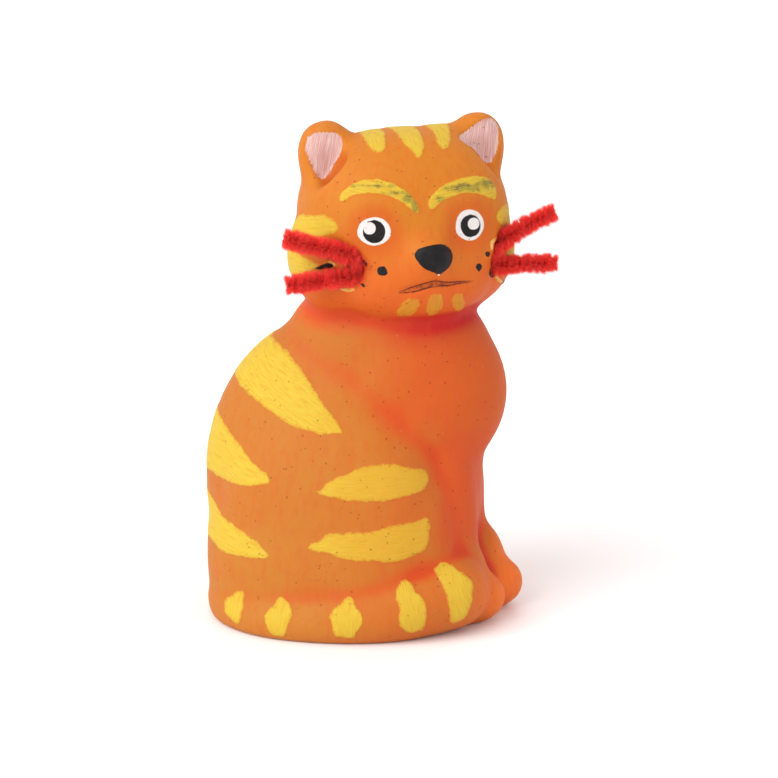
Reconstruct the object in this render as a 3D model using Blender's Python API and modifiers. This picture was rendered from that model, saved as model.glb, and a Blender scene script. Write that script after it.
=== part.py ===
"""Seated cat figure: one solid of moulded polystyrene, with a folded chenille stem seated in each cheek.

Metres, +Z up. The cat's body faces -Y and its head is turned to its right. The origin is on the
floor under the middle of the body.
"""

import math

import bmesh
import bpy
from mathutils import Matrix, Vector
from mathutils.bvhtree import BVHTree

# The figure. Its pose, lumps and carving are in 165ths of its height.
HEIGHT = 0.165
UNIT = HEIGHT / 165
HEAD_CENTRE = (1, -18.9, 124.5)
HEAD_TURN = -67
HEAD_ROLL = -1.5
EYE_SPREAD = 18
EYE_LEVEL = 6
EAR_SPREAD = 24.2
EAR_SHIFT = 1.2
EAR_LEVEL = 26.5
EAR_LEAN = 0.2
EAR_TILT = 8
NOSE_SHIFT = 1.8
FIGURE_TRIANGLES = 7400

# How the lumps run together: the grain of the skin, and how far the edge of the base is rounded.
TORSO_GRAIN = 1.6
FINE_GRAIN = 1.3
BASE_ROUNDING = 1.0

# The mouth's groove, in the face's own frame.
MOUTH_HALF = 12
MOUTH_SHIFT = 3.3
MOUTH_LEVEL = -10
MOUTH_DROOP = 1.3
MOUTH_TILT = 0.8
MOUTH_WIDTH = 1.7

# The whiskers: one chenille stem a side, folded in two and pushed into the cheek.
STEM_DIAMETER = 0.006
FOLD_GAP = 0.0005
STEM_SINK = 0.007
RIGHT_ARMS = (0.0225, 0.0205)
LEFT_ARMS = (0.0215, 0.0185)
SEAT_CLEARANCE = 0.0004
BORE_OVERLAP = 0.001
POCKET_SHIFT = 0.0015
RIGHT_SPREAD = 10
LEFT_SPREAD = 13
RIGHT_RISE = 6
LEFT_RISE = 11.5
WHISKER_SWEEP = -2
WHISKER_LEVEL = -4
RIGHT_ROOT = 20.5
LEFT_ROOT = 26

HEAD = Matrix.Translation(Vector(HEAD_CENTRE) * UNIT)
HEAD @= Matrix.Rotation(math.radians(HEAD_TURN), 4, "Z")
HEAD @= Matrix.Rotation(math.radians(HEAD_ROLL), 4, "Y")


def clear_scene():
    for obj in list(bpy.data.objects):
        bpy.data.objects.remove(obj, do_unlink=True)


def principled(name, colour, roughness):
    material = bpy.data.materials.new(name)
    material.use_nodes = True
    shader = material.node_tree.nodes["Principled BSDF"]
    shader.inputs["Base Color"].default_value = (*colour, 1)
    shader.inputs["Roughness"].default_value = roughness
    shader.inputs["Metallic"].default_value = 0
    return material


# Meshes: each helper returns a new mesh in metres


def mesh_of(shape):
    """Keeps a bmesh as a mesh."""
    mesh = bpy.data.meshes.new("shape")
    shape.to_mesh(mesh)
    shape.free()
    return mesh


def helper(mesh):
    """A passing object, for modifiers to work on."""
    obj = bpy.data.objects.new("helper", mesh)
    bpy.context.scene.collection.objects.link(obj)
    return obj


def settled(obj):
    """The object's mesh with its modifiers applied. The object goes."""
    bpy.context.view_layer.update()
    graph = bpy.context.evaluated_depsgraph_get()
    mesh = bpy.data.meshes.new_from_object(obj.evaluated_get(graph))
    bpy.data.objects.remove(obj, do_unlink=True)
    return mesh


def joined(meshes):
    shape = bmesh.new()
    for mesh in meshes:
        shape.from_mesh(mesh)
    return mesh_of(shape)


def ball(centre, radii, square=2.0, tilt=(0, 0, 0), frame=Matrix(), rings=36):
    """A lump: an ellipsoid, squarer as square rises above 2. Tilt is in degrees about X, Y and Z."""
    shape = bmesh.new()
    bmesh.ops.create_uvsphere(shape, u_segments=2 * rings, v_segments=rings, radius=1)
    for vertex in shape.verts:
        vertex.co /= sum(abs(part) ** square for part in vertex.co) ** (1 / square)
    turn = Matrix.Rotation(math.radians(tilt[2]), 4, "Z")
    turn @= Matrix.Rotation(math.radians(tilt[1]), 4, "Y")
    turn @= Matrix.Rotation(math.radians(tilt[0]), 4, "X")
    size = Matrix.Diagonal((*(Vector(radii) * UNIT), 1))
    place = Matrix.Translation(Vector(centre) * UNIT)
    bmesh.ops.transform(shape, matrix=frame @ place @ turn @ size, verts=shape.verts)
    return mesh_of(shape)


def tube(route, radii, smooth, sides):
    """A round limb along a route, with its own radius at each point."""
    curve = bpy.data.curves.new("tube", "CURVE")
    curve.dimensions = "3D"
    curve.bevel_depth = 1
    curve.bevel_resolution = sides
    curve.resolution_u = 8
    curve.use_fill_caps = True
    spline = curve.splines.new("NURBS" if smooth else "POLY")
    spline.points.add(len(route) - 1)
    for point, place, radius in zip(spline.points, route, radii):
        point.co = (*place, 1)
        point.radius = radius
    if smooth:
        spline.order_u = 3
        spline.use_endpoint_u = True
    shape = bmesh.new()
    shape.from_mesh(settled(helper(curve)))
    bmesh.ops.remove_doubles(shape, verts=shape.verts, dist=1e-6)
    bmesh.ops.recalc_face_normals(shape, faces=shape.faces)
    return mesh_of(shape)


def limb(route, girth):
    """A smooth tube whose route and radii are in the figure's units."""
    return tube([Vector(point) * UNIT for point in route], [radius * UNIT for radius in girth], True, 6)


def block_below(top):
    """A block wider than the figure, from this level down."""
    shape = bmesh.new()
    bmesh.ops.create_cube(shape, size=HEIGHT)
    bmesh.ops.translate(shape, vec=(0, 0, top - HEIGHT / 2), verts=shape.verts)
    return mesh_of(shape)


def skin(mesh, grain, passes):
    """One closed skin over lumps that overlap, with the creases between them rubbed smooth."""
    obj = helper(mesh)
    remesh = obj.modifiers.new("skin", "REMESH")
    remesh.mode = "VOXEL"
    remesh.voxel_size = grain * UNIT
    rub = obj.modifiers.new("rub", "SMOOTH")
    rub.factor = 0.5
    rub.iterations = passes
    return settled(obj)


def carved(mesh, cuts):
    """The mesh less every cut."""
    obj = helper(mesh)
    cutters = [helper(cut) for cut in cuts]
    for cutter in cutters:
        carve = obj.modifiers.new("carve", "BOOLEAN")
        carve.operation = "DIFFERENCE"
        carve.solver = "EXACT"
        carve.object = cutter
    result = settled(obj)
    for cutter in cutters:
        bpy.data.objects.remove(cutter, do_unlink=True)
    return result


# The figure's forms


def torso():
    lumps = [
        ball((0, 1, 45), (33.5, 45.5, 55)),
        ball((0, 2, 20), (38, 43, 36), 2.6),
        ball((0, -25.5, 75), (25, 28.5, 29)),
        ball((0, -20, 84), (26, 30, 27)),
        ball((0, -13.2, 92.5), (25, 31.5, 21)),
        ball((0, -30.5, 48), (20, 15.5, 42), 2.2),
    ]
    for side in (-1, 1):
        lumps.append(ball((side * 17.5, -1, 34), (19.5, 36, 41), 2.4, (-6, 0, side * -2)))
    return skin(joined(lumps), TORSO_GRAIN, 22)


def haunches():
    """The front of each thigh, which stands out from the chest with a clear edge."""
    return [ball((side * 16.3, -5.8, 30), (18.2, 34.5, 34), 2.4, (-6, 0, side * -2)) for side in (-1, 1)]


def front_legs():
    """A leg and a paw a side. The near paw is drawn back a little, beside the tip of the tail."""
    lumps = []
    for side in (-1, 1):
        back = side * 2
        route = [(side * 9.5, -31, 70), (side * 9.5, -35, 48), (side * 9, -36, 26), (side * 9, -38, 6)]
        lumps.append(limb(route, (12, 10.5, 10, 10)))
        lumps.append(ball((side * 8, -39.5 - back, 11), (9.5, 12, 19), 2.2))
        lumps.append(ball((side * 8, -45.5 - back, 8.5), (9, 12, 9.3)))
    return lumps


def tail():
    """It leaves the rump low on the left, lies round the right side and ends in a thick round tip."""
    route = [(24, 28, 4), (14, 36, 4.5), (-6, 37.5, 5), (-21.5, 32.5, 5), (-31, 19.5, 5), (-33, 3, 5.5),
             (-31, -14, 7.5), (-26, -27, 10.5), (-18.5, -38.5, 13)]
    girth = (5, 7, 8.5, 9, 9, 9.5, 10.5, 12, 12.5)
    return [limb(route, girth), ball(route[-1], [girth[-1]] * 3)]


def head():
    lumps = [
        ball((0.5, 0, 5), (33.7, 29, 30.4), 2.5, (0, -1.5, 0), HEAD),
        ball((13, 0, 23.5), (14, 16, 12.7), frame=HEAD),
        ball((0, -16, -9.5), (26, 15.5, 14.5), frame=HEAD),
        ball((NOSE_SHIFT, -28.5, -1.5), (8, 6.5, 6.5), frame=HEAD),
    ]
    for side in (-1, 1):
        lumps.append(ball((side * 15 - 0.8, -3, -3.5), (22, 22, 21), frame=HEAD))
        across = EAR_SHIFT + side * EAR_SPREAD
        ear = (across, 1.5, EAR_LEVEL + side * EAR_LEAN)
        lumps.append(ball(ear, (9.7, 8, 13), 2.3, (0, side * EAR_TILT, 0), HEAD))
        lumps.append(ball((across - side * 7, 1.5, EAR_LEVEL - 1.5), (9, 7, 9), frame=HEAD))
    cuts = []
    for side in (-1, 1):
        cuts.append(ball((side * EYE_SPREAD, -32.5, EYE_LEVEL), (12.5, 7, 10.5), frame=HEAD))
        hollow = (EAR_SHIFT + side * (EAR_SPREAD + 2), -9.5, EAR_LEVEL)
        cuts.append(ball(hollow, (6.5, 5, 9), 2.0, (0, side * EAR_TILT, 0), HEAD))
    return carved(skin(joined(lumps), FINE_GRAIN, 7), cuts)


def on_face(surface, across, level):
    """The point of the face's skin at this place across and up, seen from straight in front."""
    start = HEAD @ (Vector((across, -HEIGHT / UNIT, level)) * UNIT)
    return surface.ray_cast(start, HEAD.to_3x3() @ Vector((0, 1, 0)))[0]


def mouth(surface):
    """The cut for the mouth: a thin tube laid along the muzzle's skin."""
    steps = 8
    route = []
    for step in range(-steps, steps + 1):
        share = step / steps
        level = MOUTH_LEVEL - MOUTH_DROOP * share * share + MOUTH_TILT * share
        route.append(on_face(surface, MOUTH_SHIFT + MOUTH_HALF * share, level))
    return tube(route, [MOUTH_WIDTH / 2 * UNIT] * len(route), False, 2)


def figure_form():
    whole = skin(joined([torso(), head(), *haunches(), *tail(), *front_legs()]), FINE_GRAIN, 5)
    trimmed = carved(whole, [block_below(-BASE_ROUNDING * UNIT)])
    obj = helper(skin(trimmed, FINE_GRAIN, 3))
    thin = obj.modifiers.new("thin", "DECIMATE")
    thin.ratio = FIGURE_TRIANGLES / (2 * len(obj.data.polygons))
    return settled(obj)


def surface_of(mesh):
    shape = bmesh.new()
    shape.from_mesh(mesh)
    surface = BVHTree.FromBMesh(shape)
    shape.free()
    return surface


# The whiskers


class Whisker:
    """A stem folded in two: where it enters the cheek, and the centre line of fold and arms.

    At the root the stem lies just under the cheek's skin, so the whole fold is inside the head.
    """

    def __init__(self, side, root, rise, spread, arms, surface):
        rise = math.radians(rise)
        sweep = math.radians(WHISKER_SWEEP)
        level = math.cos(rise)
        out = Vector((side * math.cos(sweep) * level, math.sin(sweep) * level, math.sin(rise)))
        self.out = HEAD.to_3x3() @ out
        upright = HEAD.to_3x3() @ Vector((0, 0, 1))
        self.across = (upright - self.out * upright.dot(self.out)).normalized()
        inward = HEAD.to_3x3() @ Vector((0, STEM_DIAMETER / 2, 0))
        self.entry = on_face(surface, side * root, WHISKER_LEVEL) + inward
        self.fold = (STEM_DIAMETER + FOLD_GAP) / 2
        self.centre = STEM_DIAMETER / 2 + self.fold - STEM_SINK
        self.spread = math.radians(spread)
        self.arms = arms

    def point(self, outward, sideways):
        return self.entry + self.out * outward + self.across * sideways

    def line(self):
        """Points from the upper arm's end round the fold to the lower arm's."""
        steps = 10
        bend = []
        for step in range(steps + 1):
            angle = math.pi / 2 + self.spread + (math.pi - 2 * self.spread) * step / steps
            bend.append((self.centre + self.fold * math.cos(angle), self.fold * math.sin(angle)))
        root = bend[0]
        upper, lower = [(reach, root[1] + (reach - root[0]) * math.tan(self.spread)) for reach in self.arms]
        flat = [upper, *bend, (lower[0], -lower[1])]
        return [self.point(*place) for place in flat]

    def stem(self):
        route = self.line()
        return tube(route, [STEM_DIAMETER / 2] * len(route), False, 4)

    def seat(self):
        """The cuts that the stem sits in, with a clearance: a lens for the fold and a bore for each arm."""
        half = STEM_DIAMETER / 2
        frame = Matrix((self.out, self.across, self.out.cross(self.across))).transposed().to_4x4()
        frame.translation = self.entry
        ease = 2 * SEAT_CLEARANCE
        radii = (half + self.fold + ease - POCKET_SHIFT, half + self.fold + ease, half + ease)
        middle = (self.centre - POCKET_SHIFT) / UNIT
        cuts = [ball((middle, 0, 0), [radius / UNIT for radius in radii], frame=frame, rings=12)]
        route = self.line()
        for tip, root in (route[:2], route[:-3:-1]):
            inner = root + (root - tip).normalized() * BORE_OVERLAP
            cuts.append(tube([inner, tip], [half + SEAT_CLEARANCE] * 2, False, 4))
        return cuts


def add_node(parts, name, mesh, material):
    mesh.name = name
    mesh.materials.clear()
    mesh.materials.append(material)
    mesh.shade_smooth()
    obj = bpy.data.objects.new(name, mesh)
    parts.objects.link(obj)


def build():
    clear_scene()
    parts = bpy.data.collections.new("cat_figure")
    bpy.context.scene.collection.children.link(parts)
    form = figure_form()
    surface = surface_of(form)
    right = Whisker(-1, RIGHT_ROOT, RIGHT_RISE, RIGHT_SPREAD, RIGHT_ARMS, surface)
    left = Whisker(1, LEFT_ROOT, LEFT_RISE, LEFT_SPREAD, LEFT_ARMS, surface)
    figure = carved(form, [block_below(0), mouth(surface), *right.seat(), *left.seat()])
    add_node(parts, "cat_figure", figure, principled("painted polystyrene", (0.80, 0.20, 0.03), 0.6))
    chenille = principled("red chenille", (0.55, 0.02, 0.02), 0.9)
    add_node(parts, "whisker_right", right.stem(), chenille)
    add_node(parts, "whisker_left", left.stem(), chenille)


build()
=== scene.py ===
"""Looks of the polystyrene cat figure: painted foam, chenille-stem whiskers, a pale floor and soft light.

The figure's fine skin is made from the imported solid. Paint lies on it as signed distances kept on the
mesh, so it stays where it is from every side. Lengths are metres and outlines are the photograph's pixels.
"""

import math

import bmesh
import bpy
import numpy as np
from mathutils import Matrix, Vector
from mathutils.bvhtree import BVHTree


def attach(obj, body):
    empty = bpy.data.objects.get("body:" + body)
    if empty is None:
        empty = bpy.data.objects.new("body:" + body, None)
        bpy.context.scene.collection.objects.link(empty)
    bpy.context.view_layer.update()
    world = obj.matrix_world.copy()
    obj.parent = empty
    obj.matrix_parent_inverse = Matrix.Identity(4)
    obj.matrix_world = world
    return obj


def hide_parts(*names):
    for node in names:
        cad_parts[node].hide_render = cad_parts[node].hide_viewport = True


MM = 0.001

# The photograph's camera
VIEW_AZIMUTH = -80
VIEW_ELEVATION = 13
VIEW_DISTANCE = 0.70
PIXEL = 0.336 * MM
IMAGE_SIDE = 778
IMAGE_MIDDLE = 389
ORIGIN_AT = (345, 604)
SENSOR = 36

# The head's frame, as the figure's source gives it in 165ths of its height
HEAD_CENTRE = (1, -18.9, 124.5)
HEAD_TURN = -67
HEAD_ROLL = -1.5
UNIT = 1 * MM
# Pink inside the ears that the photograph can't show: each patch's middle and half size, face on.
# It lies only on skin that the photograph's camera sees from its edge or not at all.
EAR_HOLLOWS = ((-26.5, 32), (27.5, 34))
EAR_HOLLOW_HALF = (4.6, 6)
EDGE_ON = 0.12

# The fine skin
SKIN_GRAIN = 0.8 * MM
SKIN_PASSES = 26
PLUG_REACH = 4.5 * MM
PLUG_SWELL = 0.7 * MM
PLUG_DEPTH = 2.2 * MM
HOLLOW_PASSES = 90

# Yellow stripes of the near side, as closed outlines
HAUNCH_STRIPES = (
    ((315, 492), (323, 490), (327, 482), (337, 477), (351, 473.5), (358, 468), (375, 465), (391, 464),
     (399, 465), (411, 468.5), (423, 469), (429, 475), (429, 481), (423, 491), (416, 494), (399, 498),
     (381, 502), (361, 501), (344, 500), (330, 497), (320, 495)),
    ((307, 548), (313, 542), (321, 540.5), (328, 533.5), (339, 533), (343, 536), (348, 532), (370, 533),
     (381, 529), (401, 524), (419, 520), (427, 516.5), (429.5, 522), (430, 539), (426, 548.5), (419, 553.5),
     (404, 559), (396, 562), (376, 561), (357, 561), (344, 559), (336, 556), (323, 552), (311, 550.5)),
)
# Stripes that start at the spine: the outline's two ends lie on the spine
BACK_STRIPES = (
    ((235, 371), (249, 393), (278, 418), (308, 432), (343, 435), (341, 427), (322, 401), (303, 369),
     (284, 345), (272, 333)),
    ((211, 470), (219, 477), (238, 485), (258, 486), (275, 481), (248, 455), (229, 431), (222, 416)),
    ((212, 538), (223, 552), (248, 558), (273, 559), (258, 542), (238, 527), (219, 510), (211, 494)),
)
TAIL_RINGS = (
    ((224, 603), (227, 598), (236, 593), (242, 590.5), (245, 593), (243, 608), (239, 625), (233, 622),
     (225, 613)),
    ((264, 615), (270, 608), (275, 605), (277, 599), (281, 596), (286, 600), (291, 603), (292, 615),
     (288, 625), (286, 636), (274, 636), (269, 632), (265, 623)),
    ((329.5, 615), (336, 607), (342, 604), (344, 598), (349, 595.5), (353, 598), (355, 606), (362, 613),
     (363, 623), (359, 630), (355, 632), (354, 638), (336, 637.5), (333, 633), (332, 623), (330, 619)),
    ((395, 597), (398, 587), (401, 580), (406, 579), (411, 583), (414, 591), (420, 595), (426, 603),
     (426.5, 619), (424, 628), (417, 632), (408, 633), (401, 628), (398.5, 619), (400, 609), (397, 602)),
    ((433.5, 568), (438, 564), (443, 561.5), (450, 564), (460, 571), (469, 577), (473, 583), (472.5, 599),
     (469, 613), (461, 621), (450, 624), (449.5, 613), (447, 597), (441, 583), (436, 574)),
)
CROWN_STRIPES = (
    ((359, 130), (365, 142), (372, 151), (381, 155), (386, 146), (385, 132)),
    ((393, 131), (400, 140), (410, 149), (419, 160), (424, 152), (424, 142), (417, 129)),
    ((425, 123), (435, 135), (439, 148), (445, 150), (450, 146), (451, 135), (449, 122)),
)
CHEEK_STRIPES = (
    ((292, 209), (300, 214), (317, 215), (327, 215), (339, 226), (336, 233), (322, 237), (305, 236),
     (291, 232)),
    ((293, 250), (303, 256), (318, 264), (320, 267), (308, 272), (294, 277)),
)
LEFT_BROW = (
    (338, 200), (344, 189), (357, 182), (370, 179), (388, 181), (403, 189), (412, 197), (419, 207),
    (418, 214), (412, 210), (404, 203), (391, 196), (377, 193), (363, 193), (351, 196), (344, 202),
)
RIGHT_BROW = (
    (428, 208), (429, 199), (436, 190), (448, 183), (464, 177), (481, 176), (492, 181), (496, 190),
    (496, 199), (491, 199), (478, 193), (464, 193), (450, 197), (439, 203), (433, 210),
)
CHIN_DABS = (
    ((396, 314), (404, 299), (419, 299), (419, 307), (412, 315), (402, 316)),
    ((427, 316), (428, 299), (431, 294), (442, 294), (443, 307), (436, 314)),
    ((452, 298), (457, 293), (463, 295), (465, 305), (461, 311), (453, 310)),
)
PINK_EARS = (
    ((305, 144), (308, 134), (322, 131), (338, 132), (343, 139), (341, 153), (334, 165), (327, 176),
     (322, 180), (317, 175), (311, 165), (306, 154)),
    ((458, 136), (469, 128), (481, 120), (491, 117), (497, 121), (501, 128), (500, 142), (496, 153),
     (492, 163), (484, 162), (479, 153), (471, 146), (463, 140)),
)
EYE_WHITES = (
    ((357, 231), (360, 223), (366, 219), (374, 217), (382, 218), (388, 223), (391, 229), (391, 236),
     (386, 242), (379, 245), (371, 246), (363, 242), (358, 237)),
    ((455, 226), (457, 217), (462, 211), (469, 209), (477, 211), (483, 218), (484, 226), (481, 234),
     (475, 240), (468, 241), (461, 238), (456, 233)),
)
NOSE = (
    (414, 256), (417, 250), (424, 247), (433, 245), (443, 244), (450, 249), (453, 256), (451, 265),
    (445, 271), (440, 274), (438, 276), (436, 273), (427, 270), (420, 265),
)
MOUTH_TOP = ((398, 292.5), (413, 287.5), (430, 282.5), (437.5, 281.5), (447, 283.3), (474, 280.6))
MOUTH_BOTTOM = ((398, 293.3), (413, 292.6), (425, 289), (437.5, 286.5), (447, 286.5), (460, 283.9),
                (474, 281.2))
DOTS = (
    ((360, 261), (362.5, 259), (367, 260.5), (368, 265.5), (366, 267.5), (363.5, 263.5)),
    ((377, 269), (379, 266.5), (386, 266), (388, 275.5), (379, 276), (377, 273)),
    ((360, 282), (367, 285), (366.5, 287.5), (361, 287)),
    ((313, 267), (318, 267), (321, 265), (329, 263), (334, 264.5), (333, 267.5), (325, 269), (317, 269)),
    ((484, 253.5), (487.5, 250.3), (490.3, 253), (490.3, 256.8), (486.5, 256.3)),
    ((478.3, 262.8), (481, 263.8), (482.4, 267.5), (479.2, 272), (476.6, 269.4), (475.4, 265.8)),
    ((488.8, 270.8), (491.7, 267.5), (494, 268.8), (494.6, 275), (492.5, 277.6), (488.8, 275.5)),
    ((500, 282.5), (504.2, 279.5), (506, 280.8), (502.5, 284.5)),
)
# Pale torn foam at the edges of the whiskers' holes, as open lines
TORN_RIMS = (
    ((491, 249), (491.5, 242), (500, 236.5)),
    ((494.5, 259), (497.5, 256.5)),
    ((494.5, 264), (496.5, 278), (503, 282.5)),
    ((342, 289), (348, 290), (355, 289)),
    ((330, 262), (335, 264.5)),
)
TORN_WIDTH = 1.0 * MM

# Round marks: middle and half sizes
IRISES = (((374.2, 231.6), (11.4, 11.6)), ((470, 225.7), (10, 11.4)))
GLINTS = (((369.6, 228.2), (6.2, 6.2)), ((473.2, 223.5), (5.7, 6)), ((438.6, 274.6), (1.2, 1)))
# Olive scuffs through the brows
SCUFFS = (
    ((415, 206), (4, 6)),
    ((408, 199), (6, 3.4)),
    ((396, 193), (10, 1.6)),
    ((368, 186), (20, 0.9)),
    ((466, 188), (20, 4)),
    ((441, 199), (7, 3)),
    ((486, 184), (10, 4)),
)

# How far the near side's stripes are carried round the back of the head, and the crown's over the top
CHEEK_END = math.radians(118)
CROWN_END = math.radians(112)
BODY_GIRTH = 38 * MM
HEAD_GIRTH = 30 * MM
FAR = 0.02

# Chenille
PILE_RADIUS = 3.3 * MM
PILE_CORE = 1.7 * MM
PILE_PITCH = 4.2 * MM
PILE_TUFT = 1.05 * MM
PILE_FOOT = 0.8 * MM
FOLD_REACH = 5 * MM
ROOT_LIFT = 0.75
FOLD_TRIM = 0.8
PILE_PER_METRE = 1_000_000

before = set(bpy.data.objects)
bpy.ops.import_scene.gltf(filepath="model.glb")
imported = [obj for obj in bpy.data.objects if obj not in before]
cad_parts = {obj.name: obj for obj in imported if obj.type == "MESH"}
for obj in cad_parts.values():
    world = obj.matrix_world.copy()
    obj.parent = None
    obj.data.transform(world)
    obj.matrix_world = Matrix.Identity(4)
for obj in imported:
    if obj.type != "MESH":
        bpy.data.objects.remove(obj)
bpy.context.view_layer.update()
chance = np.random.default_rng(7)


# The camera


def camera_axes():
    """Right, up and back of the photograph's camera, and its place."""
    azimuth, elevation = math.radians(VIEW_AZIMUTH), math.radians(VIEW_ELEVATION)
    level = math.cos(elevation)
    back = Vector((math.sin(azimuth) * level, -math.cos(azimuth) * level, math.sin(elevation)))
    right = Vector((math.cos(azimuth), math.sin(azimuth), 0))
    up = back.cross(right)
    across = (ORIGIN_AT[0] - IMAGE_MIDDLE) * PIXEL
    above = (IMAGE_MIDDLE - ORIGIN_AT[1]) * PIXEL
    return right, up, back, back * VIEW_DISTANCE - right * across - up * above


RIGHT, UP, BACK, EYE = camera_axes()
FOCAL = VIEW_DISTANCE / PIXEL


def add_camera():
    data = bpy.data.cameras.new("camera")
    data.sensor_width = SENSOR
    data.lens = SENSOR * FOCAL / IMAGE_SIDE
    data.clip_start = 0.01
    data.clip_end = 100
    camera = bpy.data.objects.new("camera", data)
    turn = Matrix((RIGHT, UP, BACK)).transposed().to_4x4()
    camera.matrix_world = Matrix.Translation(EYE) @ turn
    bpy.context.scene.collection.objects.link(camera)
    bpy.context.scene.camera = camera


def pixels_of(points):
    """Where points fall in the photograph."""
    offset = points - np.array(EYE)
    depth = -(offset @ np.array(BACK))
    across = IMAGE_MIDDLE + FOCAL * (offset @ np.array(RIGHT)) / depth
    down = IMAGE_MIDDLE - FOCAL * (offset @ np.array(UP)) / depth
    return np.stack([across, down], 1)


def ray_of(pixel):
    """The direction in which the camera sees a pixel."""
    across = (pixel[0] - IMAGE_MIDDLE) / FOCAL
    above = (IMAGE_MIDDLE - pixel[1]) / FOCAL
    return (RIGHT * across + UP * above - BACK).normalized()


# Meshes


def link(name, mesh):
    obj = bpy.data.objects.new(name, mesh)
    bpy.context.scene.collection.objects.link(obj)
    return obj


def settled(obj):
    """The object's mesh with its modifiers applied. The object goes."""
    bpy.context.view_layer.update()
    graph = bpy.context.evaluated_depsgraph_get()
    mesh = bpy.data.meshes.new_from_object(obj.evaluated_get(graph))
    bpy.data.objects.remove(obj, do_unlink=True)
    return mesh


def welded(node):
    shape = bmesh.new()
    shape.from_mesh(node.data)
    bmesh.ops.remove_doubles(shape, verts=shape.verts, dist=0.002 * MM)
    return shape


def points_of(mesh):
    found = np.empty(len(mesh.vertices) * 3)
    mesh.vertices.foreach_get("co", found)
    return found.reshape(-1, 3)


def normals_of(mesh):
    found = np.empty(len(mesh.vertices) * 3)
    mesh.vertex_normals.foreach_get("vector", found)
    return found.reshape(-1, 3)


def arms_of(node):
    """Each arm of a folded stem as (root, tip), the lower arm first.

    An arm's faces are the only long ones. Places are summed and arms listed in a fixed order, so that
    every run gives the same stem.
    """
    shape = welded(node)
    shape.verts.ensure_lookup_table()
    long = [edge for edge in shape.edges if edge.calc_length() > 9 * MM]
    ends = {vertex for edge in long for vertex in edge.verts}
    rings = []
    left = set(ends)
    while left:
        ring, edge_of = set(), [left.pop()]
        while edge_of:
            vertex = edge_of.pop()
            ring.add(vertex)
            for edge in vertex.link_edges:
                other = edge.other_vert(vertex)
                if other in left and edge.calc_length() < 7 * MM:
                    left.discard(other)
                    edge_of.append(other)
        rings.append(ring)

    def at_root(ring):
        return any(
            edge.other_vert(vertex) not in ends for vertex in ring for edge in vertex.link_edges
        )

    def middle(ring):
        places = sorted(tuple(vertex.co) for vertex in ring)
        return sum((Vector(place) for place in places), Vector()) / len(places)

    roots = [ring for ring in rings if at_root(ring)]
    tips = [ring for ring in rings if not at_root(ring)]
    arms = []
    for root in roots:
        near = {edge.other_vert(vertex) for vertex in root for edge in vertex.link_edges if edge in long}
        tip = max(tips, key=lambda ring: len(ring & near))
        arms.append((middle(root), middle(tip)))
    shape.free()
    return sorted(arms, key=lambda arm: arm[1].z)


def plug_of(node):
    """What fills the pocket behind a stem: the stem itself, its arms cut short, a little deeper."""
    shape = welded(node)
    upright = route_of(node)[1]
    for root, tip in arms_of(node):
        way = (tip - root).normalized()
        reach = (tip - root).length
        for vertex in shape.verts:
            along = (vertex.co - root).dot(way)
            if along > reach - 1 * MM and (vertex.co - root - way * along).length < 4 * MM:
                vertex.co += way * (PLUG_REACH - reach)
    bmesh.ops.recalc_face_normals(shape, faces=shape.faces)
    for vertex in shape.verts:
        vertex.co += vertex.normal * PLUG_SWELL - Vector(upright) * PLUG_DEPTH
    mesh = bpy.data.meshes.new("plug")
    shape.to_mesh(mesh)
    shape.free()
    return mesh


def fine_skin():
    """The figure's solid with its pockets filled, as one smooth skin of even grain."""
    shape = welded(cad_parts["cat_figure"])
    for name in ("whisker_right", "whisker_left"):
        shape.from_mesh(plug_of(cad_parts[name]))
    mesh = bpy.data.meshes.new("skin")
    shape.to_mesh(mesh)
    shape.free()
    obj = link("skin", mesh)
    remesh = obj.modifiers.new("grain", "REMESH")
    remesh.mode = "VOXEL"
    remesh.voxel_size = SKIN_GRAIN
    rub = obj.modifiers.new("rub", "SMOOTH")
    rub.factor = 0.5
    rub.iterations = SKIN_PASSES
    mesh = settled(obj)
    shape = bmesh.new()
    shape.from_mesh(mesh)
    shape.verts.ensure_lookup_table()
    # Hidden bubbles inside go: only the skin that holds the lowest corner stays.
    start = min(shape.verts, key=lambda vertex: vertex.co.z)
    kept, edge_of = {start}, [start]
    while edge_of:
        vertex = edge_of.pop()
        for edge in vertex.link_edges:
            other = edge.other_vert(vertex)
            if other not in kept:
                kept.add(other)
                edge_of.append(other)
    loose = [vertex for vertex in shape.verts if vertex not in kept]
    bmesh.ops.delete(shape, geom=loose, context="VERTS")
    shape.to_mesh(mesh)
    shape.free()
    return mesh


# Paint: signed distances in metres, below 0 where the paint lies


def rounded(outline, closed=True, times=2):
    """An outline with its corners cut, and cut again."""
    points = np.asarray(outline, float)
    for _ in range(times):
        after = np.roll(points, -1, 0) if closed else points[1:]
        before = points if closed else points[:-1]
        cut = np.stack([before * 0.75 + after * 0.25, before * 0.25 + after * 0.75], 1).reshape(-1, 2)
        points = cut if closed else np.vstack([points[:1], cut, points[-1:]])
    return points


def outline_distance(points, outline):
    best = np.full(len(points), np.inf)
    inside = np.zeros(len(points), bool)
    for start, end in zip(outline, np.roll(outline, -1, 0)):
        edge = end - start
        offset = points - start
        share = np.clip(offset @ edge / max(edge @ edge, 1e-18), 0, 1)
        best = np.minimum(best, np.hypot(*(offset - share[:, None] * edge).T))
        spans = (start[1] > points[:, 1]) != (end[1] > points[:, 1])
        rise = end[1] - start[1] or 1e-18
        inside ^= spans & (points[:, 0] < start[0] + (points[:, 1] - start[1]) * edge[0] / rise)
    return np.where(inside, -best, best)


def line_distance(points, line):
    best = np.full(len(points), np.inf)
    for start, end in zip(np.array(line, float)[:-1], np.array(line, float)[1:]):
        edge = end - start
        offset = points - start
        share = np.clip(offset @ edge / (edge @ edge), 0, 1)
        best = np.minimum(best, np.hypot(*(offset - share[:, None] * edge).T))
    return best


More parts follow.
